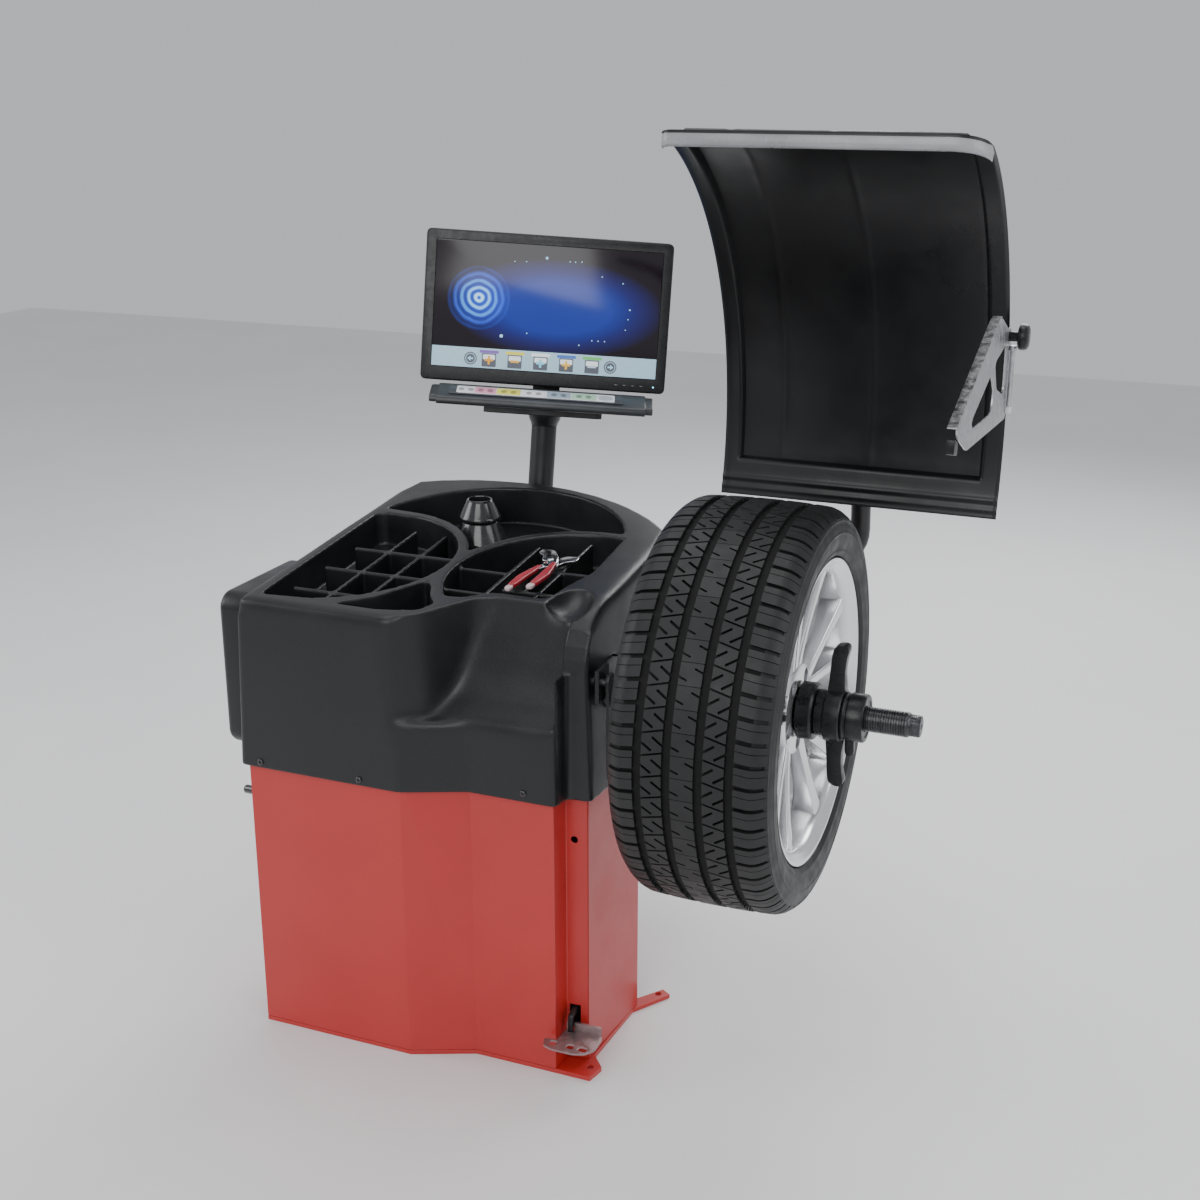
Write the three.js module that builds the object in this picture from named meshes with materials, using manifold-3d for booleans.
// Wheel balancer with a mounted car wheel, guard open. Millimetres, +X along the spindle (outwards),
// +Y to the back, +Z up. The origin is on the floor under the spindle, mid-width of the cabinet.
import * as THREE from 'three';
import { mergeVertices, toCreasedNormals } from 'three/addons/utils/BufferGeometryUtils.js';
import Module from 'manifold-3d';

const wasm = await Module();
wasm.setup();

// ---- driving dimensions -------------------------------------------------------------------
const gap = 0.3;                    // clearance left between touching pieces
const sheet = 2.5;                  // cabinet sheet metal
const floorPlate = 8;               // thickness of the base plate
const panelTop = 560;               // cabinet panels end inside the cover skirt
const skirtBottom = 510;            // lower edge of the cover skirt
const leftX = -300;
const frontLeftY = -173;            // left, most forward front facet
const frontRightY = -127;           // right front facet, set back
const recessY = -82;                // narrow facet beside the corner, set back again
const backY = 119;
const rightFrontX = 297;            // right side panel flares slightly to the back
const rightBackX = 312;

const spindleZ = 690;
const wheelX = 545;                 // wheel centre plane
const tyreRadius = 326;
const tyreHalf = 126;
const flangeRadius = 246;           // rim flange of an 18 inch rim
const seatFace = 585;               // wheel seat on the backing flange
const shaftRadius = 20;
const spindleEnd = 823;

const rimSlope = 0.1;               // the tray rim rises towards the back
const rimZ = (y) => 815 + rimSlope * (y + 179);
const pocketDepth = 62;
const coverWall = 4;
const trayLeft = { x: -225, y: 56, r: 200 };
const trayRight = { x: 195, y: 58, r: 203 };
const trayRound = { x: -24, y: 194, r: 258 };

const hoodCentre = { y: -62, z: 1056 };
const hoodRadius = 530;
const hoodSheet = 5;
const hoodX0 = 345;
const hoodX1 = 845;
const guardPivot = { y: 530, z: 790 };

const postX = -62;
const headLean = 10;                // the post and the head lean back, degrees
const headTurn = 22;                // the head is swivelled to the front right, degrees
const headOrigin = new THREE.Vector3(postX, 561, 1000);

// ---- materials ----------------------------------------------------------------------------
const mat = (color, roughness, metalness) => new THREE.MeshStandardMaterial({ color, roughness, metalness });
const redPaint = mat(0xb8322c, 0.35, 0.1);
const blackPaint = mat(0x17181a, 0.45, 0.2);
const coverPlastic = mat(0x1c1e20, 0.55, 0.0);
const hoodPlastic = mat(0x131416, 0.4, 0.0);
const darkSteel = mat(0x2c2e31, 0.4, 0.8);
const brightSteel = mat(0xb4b7ba, 0.3, 0.9);
const castIron = mat(0x55585b, 0.6, 0.6);
const alloy = mat(0xc4c6ca, 0.22, 0.9);
const rubber = mat(0x1b1d1e, 0.85, 0.0);
const boardGreen = mat(0x1f6b45, 0.5, 0.1);
const greyPlastic = mat(0x7b828a, 0.5, 0.0);
const glassDark = mat(0x15122c, 0.1, 0.0);
const keyStrip = mat(0xd8dbe0, 0.4, 0.0);
const redGrip = mat(0xb3232f, 0.45, 0.0);

// ---- solid helpers ------------------------------------------------------------------------
function solid(geometry) {
  const bare = new THREE.BufferGeometry();
  bare.setAttribute('position', geometry.getAttribute('position').clone());
  if (geometry.index) bare.setIndex(geometry.index.clone());
  const merged = mergeVertices(bare, 1e-3);
  const index = Array.from(merged.index.array);
  const triangles = [];
  for (let i = 0; i < index.length; i += 3) {
    const [a, b, c] = index.slice(i, i + 3);
    if (a !== b && b !== c && a !== c) triangles.push(a, b, c);
  }
  const positions = merged.getAttribute('position').array;
  const body = new wasm.Manifold(new wasm.Mesh({
    numProp: 3,
    vertProperties: new Float32Array(positions),
    triVerts: new Uint32Array(triangles),
  }));
  if (body.volume() >= 0) return body;
  for (let i = 0; i < triangles.length; i += 3) {
    [triangles[i + 1], triangles[i + 2]] = [triangles[i + 2], triangles[i + 1]];
  }
  return new wasm.Manifold(new wasm.Mesh({
    numProp: 3,
    vertProperties: new Float32Array(positions),
    triVerts: new Uint32Array(triangles),
  }));
}

function geometryOf(body) {
  const mesh = body.getMesh();
  const geometry = new THREE.BufferGeometry();
  const corners = new Float32Array(mesh.vertProperties);
  geometry.setAttribute('position', new THREE.BufferAttribute(corners, 3));
  geometry.setIndex(new THREE.BufferAttribute(new Uint32Array(mesh.triVerts), 1));
  return toCreasedNormals(geometry, THREE.MathUtils.degToRad(32));
}

const join = (...bodies) => bodies.reduce((a, b) => a.add(b));
const cut = (body, ...tools) => tools.reduce((a, b) => a.subtract(b), body);

function box(x0, x1, y0, y1, z0, z1) {
  const geometry = new THREE.BoxGeometry(x1 - x0, y1 - y0, z1 - z0);
  geometry.translate((x0 + x1) / 2, (y0 + y1) / 2, (z0 + z1) / 2);
  return solid(geometry);
}

const shapeOf = (points) => new THREE.Shape(points.map(([a, b]) => new THREE.Vector2(a, b)));

// a plan outline [x, y] raised from z0 to z1
function prismZ(points, z0, z1) {
  const geometry = new THREE.ExtrudeGeometry(shapeOf(points), { depth: z1 - z0, bevelEnabled: false });
  geometry.translate(0, 0, z0);
  return solid(geometry);
}

// a side outline [y, z] carried from x0 to x1
function prismX(points, x0, x1) {
  const geometry = new THREE.ExtrudeGeometry(shapeOf(points), { depth: x1 - x0, bevelEnabled: false });
  const axes = new THREE.Matrix4().makeBasis(
    new THREE.Vector3(0, 1, 0), new THREE.Vector3(0, 0, 1), new THREE.Vector3(1, 0, 0));
  geometry.applyMatrix4(axes);
  geometry.translate(x0, 0, 0);
  return solid(geometry);
}

// a front outline [x, z] carried from y0 to y1
function prismY(points, y0, y1) {
  const geometry = new THREE.ExtrudeGeometry(shapeOf(points), { depth: y1 - y0, bevelEnabled: false });
  geometry.rotateX(Math.PI / 2);
  geometry.translate(0, y1, 0);
  return solid(geometry);
}

// a turned piece: profile of [along, radius] pairs, about the X axis at (y, z)
function turnX(profile, y, z, sides = 32) {
  const points = profile.map(([along, radius]) => new THREE.Vector2(radius, along));
  const geometry = new THREE.LatheGeometry(points, sides);
  geometry.rotateZ(-Math.PI / 2);
  geometry.translate(0, y, z);
  return solid(geometry);
}

function turnZ(profile, x, y, sides = 24) {
  const points = profile.map(([along, radius]) => new THREE.Vector2(radius, along));
  const geometry = new THREE.LatheGeometry(points, sides);
  geometry.rotateX(Math.PI / 2);
  geometry.translate(x, y, 0);
  return solid(geometry);
}

const rod = (x0, x1, radius, y, z, sides = 24) =>
  turnX([[x0, 0], [x0, radius], [x1, radius], [x1, 0]], y, z, sides);
const post = (z0, z1, radius, x, y, sides = 24) =>
  turnZ([[z0, 0], [z0, radius], [z1, radius], [z1, 0]], x, y, sides);
const ring = (x0, x1, inner, outer, y, z, sides = 32) =>
  turnX([[x0, inner], [x0, outer], [x1, outer], [x1, inner], [x0, inner]], y, z, sides);

function sweep(points, radius, steps, sides = 12) {
  const stations = points.map((p) => new THREE.Vector3(...p));
  const path = new THREE.CatmullRomCurve3(stations, false, 'catmullrom', 0.1);
  const circle = [];
  for (let i = 0; i < sides; i += 1) {
    const a = (2 * Math.PI * i) / sides;
    circle.push([radius * Math.cos(a), radius * Math.sin(a)]);
  }
  return solid(new THREE.ExtrudeGeometry(shapeOf(circle), { steps, bevelEnabled: false, extrudePath: path }));
}

// a body between two outlines with the same number of points
function loft(low, high, z0, z1) {
  const count = low.length;
  const positions = [];
  low.forEach(([x, y]) => positions.push(x, y, z0));
  high.forEach(([x, y]) => positions.push(x, y, z1));
  const index = [];
  THREE.ShapeUtils.triangulateShape(low.map(([x, y]) => new THREE.Vector2(x, y)), []).forEach(
    ([a, b, c]) => index.push(a, c, b));
  THREE.ShapeUtils.triangulateShape(high.map(([x, y]) => new THREE.Vector2(x, y)), []).forEach(
    ([a, b, c]) => index.push(a + count, b + count, c + count));
  for (let i = 0; i < count; i += 1) {
    const j = (i + 1) % count;
    index.push(i, j, j + count, i, j + count, i + count);
  }
  const geometry = new THREE.BufferGeometry();
  geometry.setAttribute('position', new THREE.Float32BufferAttribute(positions, 3));
  geometry.setIndex(index);
  return solid(geometry);
}

// moves every corner of a counter-clockwise outline inwards
function inset(points, amount) {
  return points.map((point, i) => {
    const before = points[(i + points.length - 1) % points.length];
    const after = points[(i + 1) % points.length];
    const a = new THREE.Vector2(point[0] - before[0], point[1] - before[1]).normalize();
    const b = new THREE.Vector2(after[0] - point[0], after[1] - point[1]).normalize();
    const normal = new THREE.Vector2(-a.y - b.y, a.x + b.x).normalize();
    const scale = amount / Math.max(0.5, normal.dot(new THREE.Vector2(-a.y, a.x)));
    return [point[0] + normal.x * scale, point[1] + normal.y * scale];
  });
}

function arc(cx, cy, r, from, to, steps) {
  const points = [];
  for (let i = 0; i <= steps; i += 1) {
    const a = THREE.MathUtils.degToRad(from + ((to - from) * i) / steps);
    points.push([cx + r * Math.cos(a), cy + r * Math.sin(a)]);
  }
  return points;
}

function place(body, matrix) {
  const geometry = geometryOf(body);
  geometry.applyMatrix4(matrix);
  return solid(geometry);
}

const group = new THREE.Group();
group.name = 'wheel_balancer';
function add(name, body, material) {
  const mesh = new THREE.Mesh(geometryOf(body), material);
  mesh.name = name;
  group.add(mesh);
}

// ---- cabinet ------------------------------------------------------------------------------
const footprint = [
  [leftX, frontLeftY], [-4, frontLeftY], [103, frontRightY], [256, frontRightY],
  [258, recessY], [rightFrontX, recessY + 2], [rightBackX, backY], [leftX, backY],
];

function basePlate() {
  const plate = prismZ([
    [leftX, frontLeftY], [-4, frontLeftY], [103, frontRightY], [256, frontRightY], [319, -127],
    [327, -92], [302, -62], [rightBackX - 1, 100], [357, 172], [339, 184], [292, backY],
    [-276, backY], [-327, 184], [-345, 172], [leftX, 92],
  ], 0, floorPlate);
  const anchorHoles = [[308, -98], [336, 166], [-324, 166]].map(([x, y]) => post(-1, 9, 6, x, y, 16));
  return cut(plate, ...anchorHoles);
}

function frontPanel() {
  const outer = footprint.slice(0, 6);
  const inner = inset(footprint, sheet).slice(0, 6).reverse();
  const folded = prismZ([...outer, ...inner], floorPlate + gap, panelTop);
  const pedalSlot = box(263, 283, recessY - 4, recessY + 8, 70, 114);
  const faceForward = new THREE.Matrix4().makeRotationX(Math.PI / 2);
  const holePlace = new THREE.Matrix4().makeTranslation(273, recessY, 430).multiply(faceForward);
  const roundHole = place(post(-8, 8, 6, 0, 0, 16), holePlace);
  return cut(folded, pedalSlot, roundHole);
}

function sidePanel(x0, x1, y0, y1, direction) {
  const t = sheet * direction;
  return prismZ([[x0, y0], [x1, y1], [x1 - t, y1], [x0 - t, y0]], floorPlate + gap, panelTop);
}

function rearPanel() {
  const rightEdge = rightBackX - sheet - gap - 1;
  const panel = box(leftX + gap, rightEdge, backY - sheet, backY, floorPlate + gap, panelTop);
  const slots = [];
  for (let i = 0; i < 5; i += 1) slots.push(box(-60, 60, backY - 9, backY + 9, 120 + i * 16, 126 + i * 16));
  return cut(panel, ...slots, box(-229, -171, backY - 9, backY + 9, 91, 149));
}

const pedestalX0 = 115;
const pedestalX1 = 250;
const sensorTop = spindleZ - 62;

function pedestal() {
  const wall = 10;
  const column = box(pedestalX0, pedestalX1, -62, 78, floorPlate + gap, 612);
  const inside = box(pedestalX0 + wall, pedestalX1 - wall, -62 + wall, 78 - wall, 0, 612 - 14);
  const foot = box(pedestalX0 - 30, pedestalX1, -88, 108, floorPlate + gap, 18);
  const pedalPin = rod(pedestalX1 - 2, 300, 6, 40, 100, 16);
  return join(cut(join(column, foot), inside), pedalPin);
}

function supportFrame() {
  const tube = 50;
  const z0 = 440;
  const wall = 4;
  const channels = (inwards, bottom, top) => join(
    box(postX - 40 + inwards, 290 - inwards, 455 + inwards, 455 + tube * 2 - inwards, bottom, top),
    box(postX - 25 + inwards, postX + 25 - inwards, backY + gap + inwards, 460, bottom, top),
    box(230 + inwards, 280 - inwards, backY + gap + inwards, 460, bottom, top));
  return cut(channels(0, z0, z0 + tube), channels(wall, z0 - 1, z0 + tube - wall));
}

add('base_plate', basePlate(), redPaint);
add('front_panel', frontPanel(), redPaint);
add('right_side_panel', sidePanel(rightFrontX, rightBackX, recessY + 5.2, backY, 1), redPaint);
add('left_side_panel', sidePanel(leftX, leftX, frontLeftY + sheet + gap, backY - sheet - gap, -1), redPaint);
add('rear_panel', rearPanel(), redPaint);
add('spindle_pedestal', pedestal(), castIron);
add('support_frame', supportFrame(), blackPaint);

// ---- cover with the weight tray -----------------------------------------------------------
const rearArcY = (x) => 39 + Math.sqrt(457 ** 2 - (x + 71) ** 2);
const rearXs = [240, 165, 85, 5, -71, -150, -200, -245];
const coverTop = [
  [-293, -180], [-4, -180], [104, -134], [262, -134], [267, -97], [297, -94], [299, 60], [297, 265],
  [280, 325], ...rearXs.map((x) => [x, rearArcY(x)]), [-280, 428], [-291, 385],
];
const coverLow = [
  [-313, -181], [-2, -181], [104, -135], [263, -135], [268, -97], [309, -94], [319, 60], [320, 250],
  [296, 308], ...rearXs.map((x) => [x * 1.02, rearArcY(x) - 32]), [-296, 400], [-308, 360],
];

function halfSpaceAboveRim(drop) {
  const z = (y) => rimZ(y) - drop;
  return prismX([[-400, z(-400)], [700, z(700)], [700, 1100], [-400, 1100]], -500, 500);
}

// outer body of the cover; with an inset it gives the hollow inside
function coverBody(wall) {
  const bottom = wall ? 380 : skirtBottom;
  const body = loft(inset(coverLow, wall), inset(coverTop, wall), skirtBottom, 960);
  const skirt = wall ? prismZ(inset(coverLow, wall), bottom, skirtBottom + 1) : null;
  const whole = skirt ? join(body, skirt) : body;
  const underside = prismX([
    [166 - wall, 300], [166 - wall, 545 + wall], [240, 640 + wall], [470, 752 + wall],
    [700, 770 + wall], [700, 300],
  ], -500, 500);
  const kneePlan = prismZ([
    [-28 - wall, -400], [-28 - wall, -190], [0 - wall, -168 + wall], [32 - wall, -142 + wall],
    [52 - wall, -112 + wall], [66 - wall, -92 + wall], [88 - wall, -64 + wall],
    [116 - wall, -48 + wall], [500, -43 + wall], [500, -400],
  ], 500, 960);
  const kneeSide = prismX([
    [-400, 636 - wall], [-136, 636 - wall], [-122, 648 - wall], [-100 + wall, 668], [-82 + wall, 700],
    [-66 + wall, 750], [-52 + wall, 800], [-44 + wall, 840], [-44 + wall, 960], [-400, 960],
  ], -500, 259 + wall);
  const cornerRound = prismX([
    [-400, 730 - wall], [-96 + wall, 730 - wall], [-88 + wall, 772 - wall], [-62 + wall, 806 - wall],
    [-24 + wall, 828 - wall], [20, 836 - wall], [20, 960], [-400, 960],
  ], 259, 500);
  const knee = kneePlan.intersect(kneeSide);
  return cut(whole, halfSpaceAboveRim(wall), underside, knee, cornerRound);
}

const leftPocket = [
  [-271, -150], [-170, -140], ...arc(trayLeft.x, trayLeft.y, trayLeft.r, -68, 78, 12),
  [-256, 256], [-271, 246],
];
const rightPocket = [
  [104, -30], [204, -30], [214, 30], [234, 98], [228, 260],
  ...arc(trayRight.x, trayRight.y, trayRight.r, 84, 218, 12), [70, -62],
];
const frontPocket = [
  [-132, -148], [-53, -150], [18, -134], [34, -98], [10, -70], [-6, -34], [-24, -14], [-40, -38], [-76, -100],
];
const roundPocket = [
  ...arc(trayRound.x, trayRound.y, trayRound.r, 19, 161, 14),
  ...arc(trayLeft.x, trayLeft.y, trayLeft.r + 17, 82, 18, 6),
  ...arc(trayRight.x, trayRight.y, trayRight.r + 17, 146, 82, 6),
];
const pockets = [
  { outline: leftPocket, depth: pocketDepth },
  { outline: rightPocket, depth: pocketDepth },
  { outline: frontPocket, depth: pocketDepth - 8 },
  { outline: roundPocket, depth: pocketDepth + 10 },
];

const slantedFloor = (depth) => prismX(
  [[-400, rimZ(-400) - depth], [700, rimZ(700) - depth], [700, 1100], [-400, 1100]], -500, 500);

// ribs that divide the two big pockets, 94 mm apart
const ribRuns = [
  [-164, -160, -164, 205], [-99, -130, -99, 200],
  [-233, 100, -20, 100], [-238, 6, -20, 6], [-242, -90, -95, -90],
  [87, -60, 87, 200], [172, -45, 172, 240], [-15, 72, 90, 72], [-5, -20, 90, -20], [172, 102, 240, 102],
  [110, 102, 172, 102], [105, 8, 200, 8],
];

function ribs() {
  const half = 3;
  return join(...ribRuns.map(([x0, y0, x1, y1]) => (x0 === x1
    ? box(x0 - half, x0 + half, y0, y1, 700, 960)
    : box(x0, x1, y0 - half, y0 + half, 700, 960))));
}

function trayCover() {
  const shell = cut(coverBody(0), coverBody(coverWall));
  const cups = join(...pockets.map(({ outline, depth }) =>
    prismZ(inset(outline, -3.5), 500, 960).intersect(slantedFloor(depth + 3.5))));
  const hollows = join(...pockets.map(({ outline, depth }) =>
    prismZ(outline, 500, 960).intersect(slantedFloor(depth))));
  const dish = new THREE.SphereGeometry(1, 16, 10);
  dish.scale(44, 78, 46);
  dish.translate(247, -50, 850);
  const dishOuter = new THREE.SphereGeometry(1, 16, 10);
  dishOuter.scale(48, 82, 50);
  dishOuter.translate(247, -50, 850);
  const dishWall = solid(dishOuter).intersect(coverBody(0));
  const ribBody = ribs().intersect(join(...pockets.slice(0, 2).map(({ outline }) =>
    prismZ(inset(outline, -1), 500, 960)))).intersect(slantedFloor(pocketDepth + 1));
  const filled = cut(join(shell, cups.intersect(coverBody(0)), dishWall), hollows, solid(dish));
  const dividers = cut(ribBody, halfSpaceAboveRim(9));
  const shaftOpening = rod(280, 340, 45, 0, spindleZ, 28);
  const gaugeOpening = rod(280, 340, 9, -62, 712, 16);
  return cut(join(filled, dividers), shaftOpening, gaugeOpening);
}

function sidePod() {
  const outline = [
    [-150, 560], [-138, 536], [-110, 528], [60, 528], [84, 540], [92, 566], [92, 770], [80, 796], [56, 806],
    [-108, 806], [-136, 796], [-150, 770],
  ];
  const wallX = (z) => -313 + ((z - skirtBottom) * 20) / (960 - skirtBottom);
  const high = inset(outline, 14);
  const count = outline.length;
  const positions = [];
  outline.forEach(([y, z]) => positions.push(wallX(z) - gap, y, z));
  outline.forEach(([y, z]) => positions.push(-345, y, z));
  high.forEach(([y, z]) => positions.push(-361, y, z));
  const index = [];
  const flat = (points) => points.map(([y, z]) => new THREE.Vector2(y, z));
  THREE.ShapeUtils.triangulateShape(flat(outline), []).forEach(([a, b, c]) => index.push(a, b, c));
  THREE.ShapeUtils.triangulateShape(flat(high), []).forEach(
    ([a, b, c]) => index.push(a + 2 * count, c + 2 * count, b + 2 * count));
  for (let level = 0; level < 2; level += 1) {
    for (let i = 0; i < count; i += 1) {
      const j = (i + 1) % count;
      const k = level * count;
      index.push(k + i, k + j + count, k + j, k + i, k + i + count, k + j + count);
    }
  }
  const geometry = new THREE.BufferGeometry();
  geometry.setAttribute('position', new THREE.Float32BufferAttribute(positions, 3));
  geometry.setIndex(index);
  return solid(geometry);
}

add('weight_tray_cover', trayCover(), coverPlastic);
add('side_pod', sidePod(), coverPlastic);
add('accessory_peg', turnX([
  [-365, 0], [-365, 6], [-362, 8], [leftX - gap, 8], [leftX - gap, 0],
], -100, 420, 16), blackPaint);

// black pan-head screws through the skirt into the front panel
function skirtScrew(x, y, z) {
  const screw = turnZ([[0, 0], [0, 6], [2.5, 5], [3.5, 0]], 0, 0, 12);
  const turn = new THREE.Matrix4().makeRotationX(Math.PI / 2);
  return place(screw, new THREE.Matrix4().makeTranslation(x, y - gap, z).multiply(turn));
}
add('cover_screw_left', skirtScrew(-271, -181.1, 521), blackPaint);
add('cover_screw_middle', skirtScrew(-77, -181.1, 521), blackPaint);
add('cover_screw_right', skirtScrew(205, -135.1, 526), blackPaint);

// ---- electrics ----------------------------------------------------------------------------
add('control_board', box(-250, -90, 96, 98, 260, 400), boardGreen);
function mainsInlet() {
  const body = box(-228.5, -171.5, backY - 28, backY + 5, 91.5, 148.5);
  const rockerRecess = box(-222, -178, backY - 3, backY + 9, 124, 144);
  const plugRecess = box(-220, -180, backY - 10, backY + 9, 96, 118);
  return cut(body, rockerRecess, plugRecess);
}
add('mains_inlet', mainsInlet(), blackPaint);
add('main_switch', prismX([
  [backY + 1.6, 124.6], [backY + 8, 125.5], [backY + 5, 134], [backY + 6, 143.4], [backY + 1.6, 143.4],
], -221.5, -178.5), blackPaint);

// ---- spindle drive ------------------------------------------------------------------------
function spindleHousing() {
  const barrel = turnX([
    [125, 34.3], [125, 58], [286, 58], [294, 42], [430, 42], [430, 34.3], [404, 34.3], [404, 26],
    [166, 26], [166, 34.3], [125, 34.3],
  ], 0, spindleZ);
  const foot = cut(box(130, 246, -48, 48, sensorTop, spindleZ - 30), rod(120, 260, 40, 0, spindleZ));
  return join(barrel, foot);
}
add('spindle_housing', spindleHousing(), castIron);
add('rear_bearing', ring(128, 150, shaftRadius + gap, 34, 0, spindleZ), brightSteel);
add('front_bearing', ring(405, 427, shaftRadius + gap, 34, 0, spindleZ), brightSteel);
add('force_sensor_front', post(612 + gap, sensorTop - gap, 18, 225, 0), brightSteel);
add('force_sensor_rear', post(612 + gap, sensorTop - gap, 18, 150, 0), brightSteel);
add('spindle_shaft', turnX([
  [48, 0], [48, 18], [50, shaftRadius], [800, shaftRadius], [806, 17.5], [spindleEnd - 2, 17.5],
  [spindleEnd, 15], [spindleEnd, 0],
], 0, spindleZ), darkSteel);
add('backing_flange', turnX([
  [445, shaftRadius + gap], [445, 44], [560, 44], [568, 96], [seatFace, 100], [seatFace, 34], [575, 32],
  [575, shaftRadius + gap], [445, shaftRadius + gap],
], 0, spindleZ, 36), darkSteel);

const pulley = { x0: 84, x1: 108, r: 64 };
const motorAxis = { y: 0, z: 430, r: 20 };
add('drive_pulley', turnX([
  [pulley.x0, shaftRadius + gap], [pulley.x0, pulley.r + 4], [pulley.x0 + 2, pulley.r],
  [pulley.x1 - 2, pulley.r], [pulley.x1, pulley.r + 4], [pulley.x1, shaftRadius + gap],
  [pulley.x0, shaftRadius + gap],
], 0, spindleZ, 36), castIron);
add('motor_pulley', turnX([
  [52, 0], [52, 7], [pulley.x0, 7], [pulley.x0, motorAxis.r + 4], [pulley.x0 + 2, motorAxis.r],
  [pulley.x1 - 2, motorAxis.r], [pulley.x1, motorAxis.r + 4], [pulley.x1, 0],
], motorAxis.y, motorAxis.z, 24), brightSteel);

function beltLoop(extra) {
  return [
    ...arc(0, spindleZ, pulley.r + extra, -12, 192, 16),
    ...arc(0, motorAxis.z, motorAxis.r + extra, 192, 348, 8),
  ];
}
add('drive_belt', cut(prismX(beltLoop(3.5), pulley.x0 + 3, pulley.x1 - 3),
  prismX(beltLoop(0.6), pulley.x0 - 1, pulley.x1 + 1)), rubber);
add('encoder_disc', ring(62, 65, shaftRadius + gap, 46, 0, spindleZ, 36), brightSteel);
add('motor', turnX([
  [-96, 0], [-96, 56], [-88, 62], [52, 62], [60, 54], [60, 7.5], [46, 7.5], [46, 0],
], motorAxis.y, motorAxis.z, 28), castIron);

function motorBracket() {
  const [low, high] = [motorAxis.z - 75, motorAxis.z + 75];
  const plate = cut(box(61, 69, -70, 70, low, high), rod(50, 80, 40, 0, motorAxis.z));
  const arms = [-70, 58].map((y) => box(61, pedestalX0 - gap, y, y + 12, low, high));
  return join(plate, ...arms);
}
add('motor_bracket', motorBracket(), blackPaint);

// ---- pedal --------------------------------------------------------------------------------
function pedalLever() {
  const bar = prismX([
    [52, 88], [52, 112], [30, 114], [-86, 110], [-104, 104], [-104, 70.2], [-150, 70.2], [-150, 64],
    [-96, 64], [-96, 98], [30, 90],
  ], 269, 277);
  return cut(bar, rod(250, 300, 6.4, 40, 100, 16));
}
function pedalPlate() {
  const outline = [
    [240, -140], [246, -158], [262, -164], [302, -164], [322, -157], [334, -140], [333, -106], [326, -92],
    [264, -92], [262, -137], [244, -137],
  ];
  const lip = [[264, -97], [329, -97], [326, -92], [264, -92]];
  const leverNotch = box(267.5, 278.5, -106, -90, 60, 95);
  const treadHoles = [[252, 266], [284, 298], [306, 322]].map(([x0, x1]) => box(x0, x1, -152, -140, 60, 80));
  return cut(join(prismZ(outline, 70.6, 74), prismZ(lip, 73, 88)), leverNotch, ...treadHoles);
}
add('pedal_lever', pedalLever(), darkSteel);
add('pedal_plate', pedalPlate(), brightSteel);

function coilAlongX(x0, x1, radius, wire, turns, y, z) {
  const points = [];
  const steps = turns * 10;
  for (let i = 0; i <= steps; i += 1) {
    const a = (2 * Math.PI * i) / 10;
    points.push([x0 + ((x1 - x0) * i) / steps, y + radius * Math.cos(a), z + radius * Math.sin(a)]);
  }
  return sweep(points, wire, steps, 6);
}
add('pedal_spring', coilAlongX(281, 296, 10, 1.4, 3, 40, 100), brightSteel);

// ---- wheel --------------------------------------------------------------------------------
function rimBody() {
  const sides = 40;
  const w = wheelX;
  const barrel = turnX([
    [w - 120, flangeRadius - 4], [w - 120, flangeRadius], [w - 107, flangeRadius], [w - 106, 229],
    [w - 60, 226], [w - 40, 208], [w + 20, 208], [w + 60, 224], [w + 106, 229],
    [w + 107, flangeRadius], [w + 118, flangeRadius], [w + 118, flangeRadius - 5], [w + 112, 223],
    [w + 62, 217], [w + 20, 200], [w - 42, 200], [w - 64, 218], [w - 110, 222], [w - 120, flangeRadius - 4],
  ], 0, spindleZ, sides);
  const pad = ring(seatFace + gap, wheelX + 83, 36.5, 76, 0, spindleZ, sides);
  const spokes = [];
  for (let i = 0; i < 5; i += 1) {
    for (const spread of [-15, 15]) {
      const centre = 90 + i * 72;
      const a = THREE.MathUtils.degToRad(centre + spread * 0.35);
      const b = THREE.MathUtils.degToRad(centre + spread);
      const half = 13;
      const from = [60 * Math.cos(a), spindleZ + 60 * Math.sin(a)];
      const to = [219 * Math.cos(b), spindleZ + 219 * Math.sin(b)];
      const along = new THREE.Vector2(to[0] - from[0], to[1] - from[1]).normalize();
      const side = [-along.y * half, along.x * half];
      const outline = [
        [from[0] - side[0], from[1] - side[1]], [to[0] - side[0], to[1] - side[1]],
        [to[0] + side[0], to[1] + side[1]], [from[0] + side[0], from[1] + side[1]],
      ];
      spokes.push(prismX(outline, wheelX + 64, wheelX + 98));
    }
  }
  const studs = [];
  for (let i = 0; i < 5; i += 1) {
    const a = THREE.MathUtils.degToRad(54 + i * 72);
    studs.push(rod(560, 700, 7, 56 * Math.cos(a), spindleZ + 56 * Math.sin(a), 10));
  }
  return cut(join(barrel, pad, ...spokes), ...studs, rod(560, 700, 36.5, 0, spindleZ, sides));
}

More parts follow.
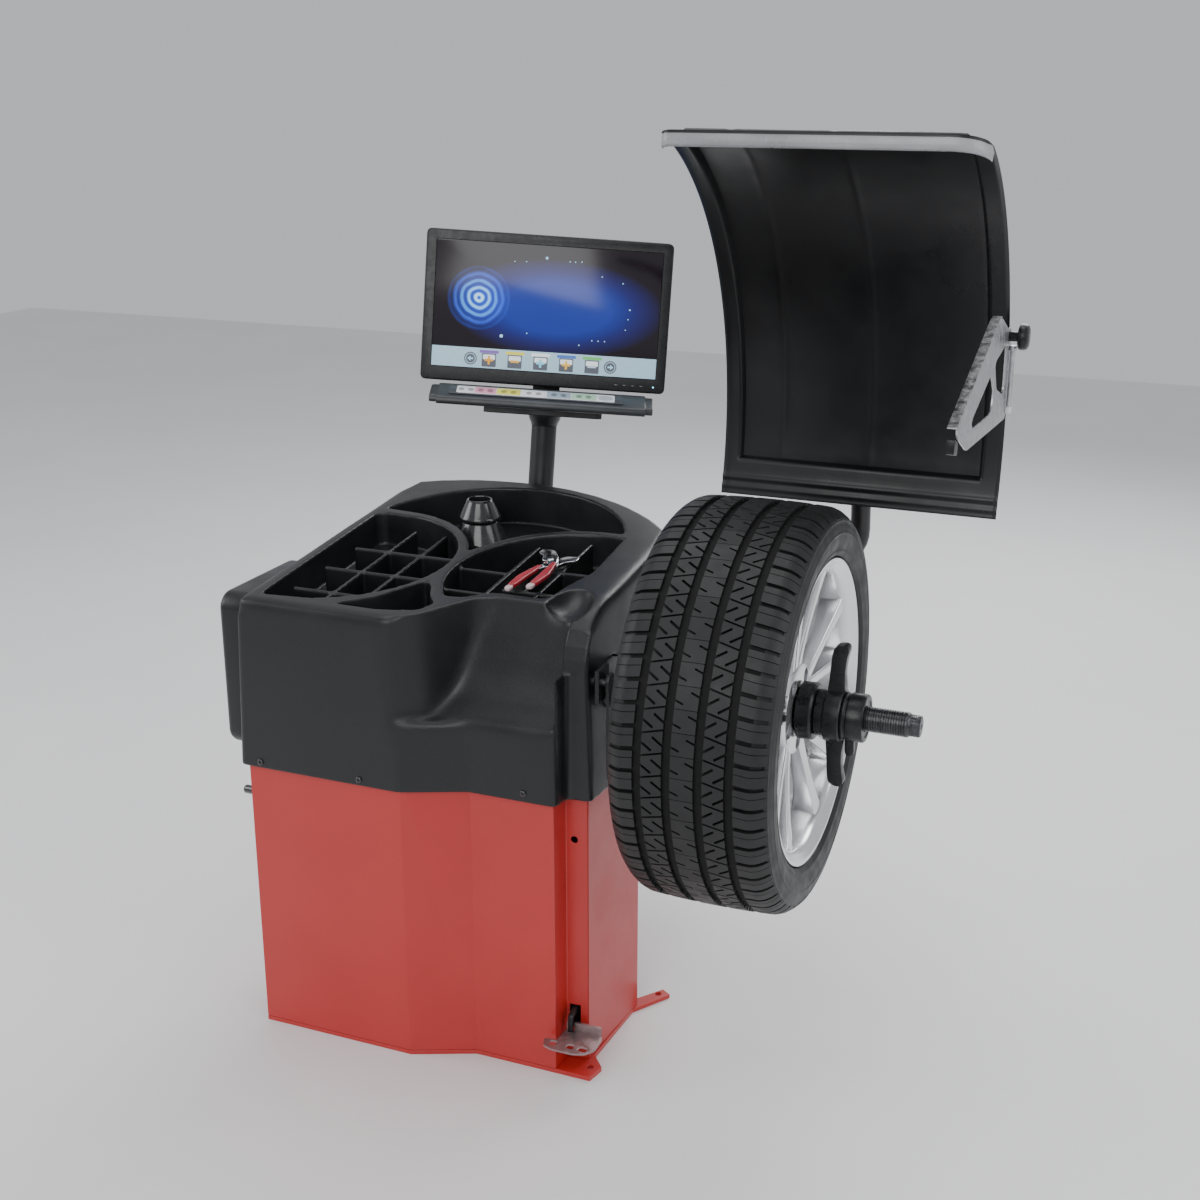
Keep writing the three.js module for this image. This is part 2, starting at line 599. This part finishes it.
function tyreBody() {
  const R = tyreRadius;
  const w = wheelX;
  const half = [[105.5, 230], [105.5, flangeRadius + 1], [118, flangeRadius + 2.5], [tyreHalf, 276],
    [tyreHalf - 6, 306], [tyreHalf - 22, R - 5]];
  const profile = [];
  half.forEach(([x, r]) => profile.push([w - x, r]));
  const tread = [
    [-96, R - 1], [-62, R], [-62, R - 8], [-52, R - 8], [-52, R + 0.5], [-8, R + 1], [-8, R - 7],
    [8, R - 7], [8, R + 1], [52, R + 0.5], [52, R - 8], [62, R - 8], [62, R], [96, R - 1],
  ];
  const inside = [
    [95, 230], [100, 250], [112, 276], [96, 308], [60, 314],
    [-60, 314], [-96, 308], [-112, 276], [-100, 250], [-95, 230],
  ];
  [...tread, ...half.slice().reverse(), ...inside].forEach(([x, r]) => profile.push([w + x, r]));
  profile.push(profile[0]);
  return turnX(profile, 0, spindleZ, 48);
}
add('rim', rimBody(), alloy);
add('tyre', tyreBody(), rubber);

// quick nut and its cup, pushed against the wheel centre
const cupSeat = wheelX + 83 + gap;
add('pressure_cup', turnX([
  [cupSeat, shaftRadius + 1], [cupSeat, 34], [cupSeat + 3, 46], [cupSeat + 26, 46], [cupSeat + 30, 40],
  [cupSeat + 30, shaftRadius + 1], [cupSeat, shaftRadius + 1],
], 0, spindleZ), blackPaint);
function nutHub() {
  const hub = turnX([
    [659, shaftRadius + 0.6], [659, 37], [700, 37], [706, 39], [737, 39], [737, 30], [738, 28],
    [738, shaftRadius + 0.6], [659, shaftRadius + 0.6],
  ], 0, spindleZ);
  return cut(hub, box(702, 722, -8, 8, spindleZ - 60, spindleZ - 30));
}
function nutHandle() {
  const wing = (sign) => prismY([
    [676, spindleZ + sign * 39.6], [702, spindleZ + sign * 39.6], [700, spindleZ + sign * 76],
    [706, spindleZ + sign * 112], [698, spindleZ + sign * 118], [684, spindleZ + sign * 116],
    [678, spindleZ + sign * 78],
  ], -11, 11);
  const band = ring(674, 700, 37.6, 43, 0, spindleZ);
  return join(band, wing(1), wing(-1));
}
add('nut_hub', nutHub(), blackPaint);
add('nut_handle', nutHandle(), blackPaint);
add('release_lever', prismY([
  [705, spindleZ - 33], [719, spindleZ - 33], [720, spindleZ - 62],
  [716, spindleZ - 66], [708, spindleZ - 66], [705, spindleZ - 60],
], -6, 6), blackPaint);

// ---- guard --------------------------------------------------------------------------------
const hoodPoint = (angle, radius) => {
  const a = THREE.MathUtils.degToRad(angle);
  return [hoodCentre.y + radius * Math.cos(a), hoodCentre.z + radius * Math.sin(a)];
};
function hoodBand(r0, r1, from, to, steps) {
  const outer = [];
  const inner = [];
  for (let i = 0; i <= steps; i += 1) {
    const a = from + ((to - from) * i) / steps;
    outer.push(hoodPoint(a, r1));
    inner.push(hoodPoint(a, r0));
  }
  return [...outer, ...inner.reverse()];
}
function guardHood() {
  const r = hoodRadius;
  const t = hoodSheet;
  const border = 12;
  const frame = prismX(hoodBand(r, r + t, -16, 73, 18), hoodX0, hoodX1);
  const opening = prismX(hoodBand(r - 20, r + 20, -9, 70, 16), hoodX0 + 26, hoodX1 - 30);
  const wall = cut(prismX(hoodBand(r, r + border + t, -9.6, 70.6, 16), hoodX0 + 21, hoodX1 - 25),
    prismX(hoodBand(r - 20, r + border, -9, 70, 16), hoodX0 + 26, hoodX1 - 30));
  const lip = prismX(hoodBand(r - 16, r + t, 72.4, 73.4, 1), hoodX0, hoodX1);
  return join(cut(frame, opening), wall, lip);
}
function guardTube() {
  const behindHood = (z) => hoodCentre.y + Math.sqrt((hoodRadius + 36) ** 2 - (z - hoodCentre.z) ** 2);
  return sweep([
    [216, guardPivot.y, guardPivot.z], [540, guardPivot.y, guardPivot.z],
    [572, guardPivot.y - 1, guardPivot.z + 6], [592, guardPivot.y - 8, guardPivot.z + 34],
    [595, behindHood(970), 970],
    ...[1030, 1090, 1150, 1200].map((z) => [595, behindHood(z), z]),
  ], 18, 36, 14);
}
function guardBracket() {
  const column = box(232, 282, 490, 540, 490 + gap, 765);
  const head = prismX([
    [492, 755], [568, 755], [572, 790], [560, 820], [500, 820], [488, 790],
  ], 228, 286);
  return cut(join(column, head), rod(200, 300, 18.6, guardPivot.y, guardPivot.z, 24));
}
add('guard_bracket', guardBracket(), blackPaint);
add('guard_tube', guardTube(), blackPaint);
add('guard_hood', guardHood(), hoodPlastic);

// rim width arm at the right edge of the hood
const armPivot = { y: 426, z: 1232 };
function widthPivot() {
  const block = box(822, 844.6, armPivot.y - 14, armPivot.y + 20, armPivot.z - 16, armPivot.z + 16);
  const clear = prismX(hoodBand(hoodRadius - 0.4, hoodRadius + 80, 0, 40, 8), 800, 860);
  const pin = turnX([
    [838, 0], [838, 8.5], [864, 8.5], [866, 20], [874, 22], [880, 16], [881, 0],
  ], armPivot.y, armPivot.z, 20);
  return cut(join(block, pin), clear);
}
function widthArm() {
  const plate = prismX([
    [412, 1246], [436, 1246], [446, 1230], [452, 1100], [440, 1090], [72, 1112], [-14, 1150], [-18, 1164],
    [300, 1272], [330, 1276],
  ], 846.4, 848.6);
  const upper = prismX([[390, 1226], [398, 1222], [402, 1150], [330, 1166], [300, 1206]], 840, 860);
  const slot = prismX([[262, 1196], [300, 1160], [290, 1136], [120, 1140], [110, 1152]], 840, 860);
  const flange = prismX([[-18, 1164], [300, 1272], [298, 1275], [-20, 1167]], 836, 848.6);
  return cut(join(plate, flange), upper, slot, rod(830, 870, 9, armPivot.y, armPivot.z, 20));
}
add('width_arm_pivot', widthPivot(), blackPaint);
add('width_arm_plate', widthArm(), brightSteel);
add('width_arm_rod', post(1104, 1216, 4, 854, 438, 12), brightSteel);
add('width_sensor', prismX([[-16, 1148], [14, 1136], [10, 1118], [-18, 1126]], 834, 846), blackPaint);

// ---- distance gauge -----------------------------------------------------------------------
const gaugeAxis = { y: -62, z: 712, r: 6 };
add('gauge_rod', rod(120, 326, gaugeAxis.r, gaugeAxis.y, gaugeAxis.z, 20), brightSteel);
const gaugeBore = rod(300, 330, gaugeAxis.r + gap, gaugeAxis.y, gaugeAxis.z, 20);
add('gauge_guide', cut(box(314, 321, -90, -46, 684, 740), gaugeBore), blackPaint);
function gaugeArm() {
  const blade = prismX([
    [-76, 718], [-70, 728], [-54, 728], [-48, 718], [-50, 690], [-54, 560], [-60, 544], [-68, 544],
    [-70, 560], [-74, 690],
  ], 326 + gap, 332);
  const tip = rod(331, 350, 6, -64, 552, 16);
  return join(blade, tip);
}
add('gauge_arm', gaugeArm(), blackPaint);

// ---- head: post, console and monitor ------------------------------------------------------
const headMatrix = new THREE.Matrix4().makeTranslation(headOrigin.x, headOrigin.y, headOrigin.z)
  .multiply(new THREE.Matrix4().makeRotationX(THREE.MathUtils.degToRad(-headLean)))
  .multiply(new THREE.Matrix4().makeRotationZ(THREE.MathUtils.degToRad(headTurn)));
const postLean = Math.tan(THREE.MathUtils.degToRad(headLean));
const postY = (z) => headOrigin.y + (z - headOrigin.z) * postLean;

function roundedRect(x0, x1, z0, z1, r, steps = 3) {
  return [
    ...arc(x1 - r, z1 - r, r, 0, 90, steps), ...arc(x0 + r, z1 - r, r, 90, 180, steps),
    ...arc(x0 + r, z0 + r, r, 180, 270, steps), ...arc(x1 - r, z0 + r, r, 270, 360, steps),
  ];
}
const onHead = (body) => place(body, headMatrix);

add('monitor_post', sweep([
  [postX, postY(560), 490 + gap], [postX, postY(560), 530], [postX, postY(620), 620],
  [postX, postY(800), 800], [postX, postY(980), 980],
], 25, 16, 20), blackPaint);
add('post_collar', onHead(turnZ([
  [-19.6, 0], [-19.6, 25], [-12, 30], [-4, 32], [6, 33], [6, 0],
], 0, 0, 24)), coverPlastic);
add('head_plate', onHead(prismZ([
  [-112, -150], [-104, -158], [104, -158], [112, -150], [112, 26], [100, 36], [-100, 36], [-112, 26],
], 6 + gap, 18)), blackPaint);

const consoleBar = { x0: -212, x1: 206 };
function consoleBody() {
  const middle = [[-206, 24], [-202, 18.6], [-96, 18.6], [-96, 54], [-150, 55], [-204, 33]];
  const ends = [[-192, 26], [-190, 22], [-104, 22], [-104, 50], [-150, 50], [-190, 34]];
  return join(
    prismX(middle, consoleBar.x0 + 14, consoleBar.x1 - 14),
    prismX(ends, consoleBar.x0, consoleBar.x1));
}
add('console_body', onHead(consoleBody()), greyPlastic);
add('console_keypad', onHead(prismX([
  [-196, 36.7], [-194.6, 38.2], [-155, 54.4], [-155, 53.4],
], -176, 150)), keyStrip);

const tiltAxis = { y: -52, z: 195, r: 11 };
function monitorHousing() {
  const face = prismY(roundedRect(-238, 228, 60, 342, 9), -121, -92);
  const back = prismY(roundedRect(-150, 140, 90, 300, 30), -93, -66);
  const ears = [-51.5, 40.5].map((x) => join(
    box(x, x + 11, -67, tiltAxis.y, tiltAxis.z - tiltAxis.r, tiltAxis.z + tiltAxis.r),
    rod(x, x + 11, tiltAxis.r, tiltAxis.y, tiltAxis.z, 20)));
  const recess = prismY(roundedRect(-219, 210, 86, 324, 2), -122, -114);
  return cut(join(face, back, ...ears), recess);
}
add('monitor_housing', onHead(monitorHousing()), blackPaint);
add('screen_panel', onHead(prismY(roundedRect(-218.5, 209.5, 86.5, 323.5, 2), -119.6, -114.5)), glassDark);
function monitorBracket() {
  const knuckle = rod(-40, 40, tiltAxis.r, tiltAxis.y, tiltAxis.z, 20);
  const neck = prismX([
    [-58, 198], [-46, 200], [-30, 176], [8, 120], [16, 18.6], [-26, 18.6], [-26, 110], [-44, 150], [-58, 186],
  ], -26, 26);
  return join(knuckle, neck);
}
add('monitor_bracket', onHead(monitorBracket()), blackPaint);

// ---- accessories lying in the tray --------------------------------------------------------
function cone(x, y, base, height, low, high) {
  return turnZ([
    [base, 20.5], [base, low], [base + 8, low], [base + height, high], [base + height, 20.5], [base, 20.5],
  ], x, y, 28);
}
const roundFloor = rimZ(372) - pocketDepth - 10 + 1;
add('cone_large', cone(-90, 320, roundFloor, 46, 52, 34), blackPaint);
add('cone_small', cone(-90, 320, roundFloor + 46 + gap, 40, 40, 24), blackPaint);

// wheel weight pliers resting on the ribs of the right pocket
const pliersFloor = 838.5;
const pliersSlope = 0.049;
function pliersHalf(side, z0) {
  const jaw = [[-12, -2], [-4, -8], [14, -6], [20, 18], [36, 30], [34, 50], [10, 46], [-10, 14]];
  const handle = [[8, 2], [-10, 6], [-28, -70], [-26, -134], [-14, -136], [-13, -70]];
  const mirror = (points) => points.map(([a, b]) => [side * a, b]);
  return join(prismZ(mirror(jaw), z0, z0 + 6), prismZ(mirror(handle), z0, z0 + 8));
}
const pliersPlace = new THREE.Matrix4().makeTranslation(150, 108, pliersFloor);
const pliersTilt = new THREE.Matrix4().makeRotationX(Math.atan(pliersSlope));
const onTray = (body) => place(body, pliersPlace.clone().multiply(pliersTilt));
add('pliers_lower_half', onTray(pliersHalf(1, 0)), redGrip);
add('pliers_upper_half', onTray(pliersHalf(-1, 8.4)), redGrip);

export default group;
